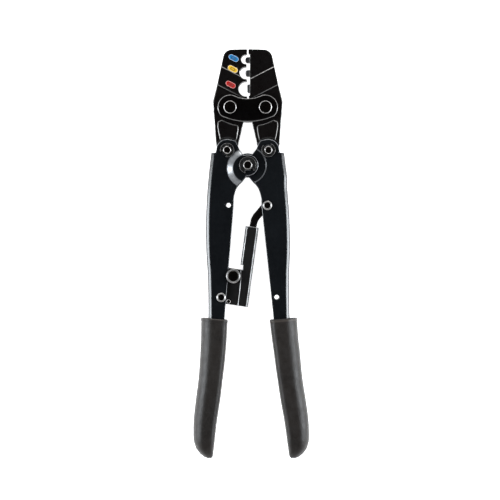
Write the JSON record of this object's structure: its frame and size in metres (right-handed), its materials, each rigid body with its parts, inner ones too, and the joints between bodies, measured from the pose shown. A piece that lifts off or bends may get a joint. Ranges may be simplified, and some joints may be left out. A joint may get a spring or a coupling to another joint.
{
  "type": "ratchet crimping tool",
  "caption": "Compound-lever ratchet hand crimper with round-nest dies for sleeved terminals, channel handles, a toothed ratchet bar in a pivoting housing and soft grips.",
  "frame": {"origin": "centre of the tool's outline seen from the front, at the level its back rests on", "axes": "+Y towards the jaws, +X to the right seen from the front, +Z out of the front face"},
  "size_m": [0.0748, 0.2698, 0.022],
  "materials": {
    "black_steel": "satin",
    "black_oxide": "satin",
    "pin_steel": "satin",
    "bright_steel": "brushed",
    "housing_steel": "satin",
    "grip_rubber": "matte",
    "red_enamel": "gloss",
    "yellow_enamel": "gloss",
    "blue_enamel": "gloss"
  },
  "bodies": {
    "left_handle": {"handle_left": "black_steel", "grip_left": "grip_rubber", "center_pin": "pin_steel", "center_spacer": "pin_steel", "clip_center": "black_oxide", "handle_pin_left": "pin_steel", "clip_left": "black_oxide", "housing_rivet": "pin_steel"},
    "right_handle": {"handle_right": "black_steel", "grip_right": "grip_rubber", "handle_pin_right": "pin_steel", "clip_right": "black_oxide", "bar_rivet": "pin_steel", "bar_spacer_front": "pin_steel", "bar_spacer_rear": "pin_steel"},
    "left_jaw": {"jaw_left": "black_oxide", "mark_blue": "blue_enamel", "mark_yellow": "yellow_enamel", "mark_red": "red_enamel"},
    "links": {"link_plate_front": "black_oxide", "link_plate_rear": "black_oxide", "link_pin_left": "pin_steel", "link_pin_right": "pin_steel"},
    "right_jaw": {"jaw_right": "black_oxide", "indenter_die": "bright_steel"},
    "bar": {"ratchet_bar": "black_oxide"},
    "housing": {"ratchet_housing": "housing_steel", "housing_cover": "housing_steel", "spring_anchor_pin": "pin_steel", "pawl_spring": "bright_steel"},
    "pawl": {"pawl": "pin_steel", "release_knob": "pin_steel"}
  },
  "joints": [
    {"name": "handle_pivot", "type": "hinge", "parent": "left_handle", "child": "right_handle", "pos_m": [-0.00245, 0.0582, 0.011], "axis": [0, 0, 1], "range_deg": [-2.5, 28]},
    {"name": "left_jaw_pivot", "type": "hinge", "parent": "left_handle", "child": "left_jaw", "pos_m": [-0.01605, 0.0682, 0.011], "axis": [0, 0, 1], "range_deg": [-1.85, 20.65]},
    {"name": "link_pivot", "type": "hinge", "parent": "left_jaw", "child": "links", "pos_m": [-0.0141, 0.09645, 0.011], "axis": [0, 0, 1], "range_deg": [-6.6, 0.6]},
    {"name": "right_jaw_pivot", "type": "hinge", "parent": "links", "child": "right_jaw", "pos_m": [0.0092, 0.09645, 0.011], "axis": [0, 0, 1], "range_deg": [-4.7, 0.45]},
    {"name": "bar_pivot", "type": "hinge", "parent": "right_handle", "child": "bar", "pos_m": [0.01052, 0.0317, 0.011], "axis": [0, 0, 1], "range_deg": [-35.6, 3.2]},
    {"name": "housing_pivot", "type": "hinge", "parent": "left_handle", "child": "housing", "pos_m": [-0.01995, -0.029, 0.011], "axis": [0, 0, 1], "range_deg": [-7.6, 0.7]},
    {"name": "pawl_lift", "type": "hinge", "parent": "housing", "child": "pawl", "pos_m": [-0.01195, -0.0149, 0.011], "axis": [0, 0, 1], "range_deg": [-12, 0], "stiffness_Nm_per_rad": 0.05}
  ],
  "couplings": [
    {"joint": "left_jaw_pivot", "follows": "handle_pivot", "ratio": 0.7363},
    {"joint": "link_pivot", "follows": "handle_pivot", "ratio": -0.2348},
    {"joint": "right_jaw_pivot", "follows": "handle_pivot", "ratio": -0.1674},
    {"joint": "bar_pivot", "follows": "handle_pivot", "ratio": -1.27},
    {"joint": "housing_pivot", "follows": "handle_pivot", "ratio": -0.27}
  ]
}
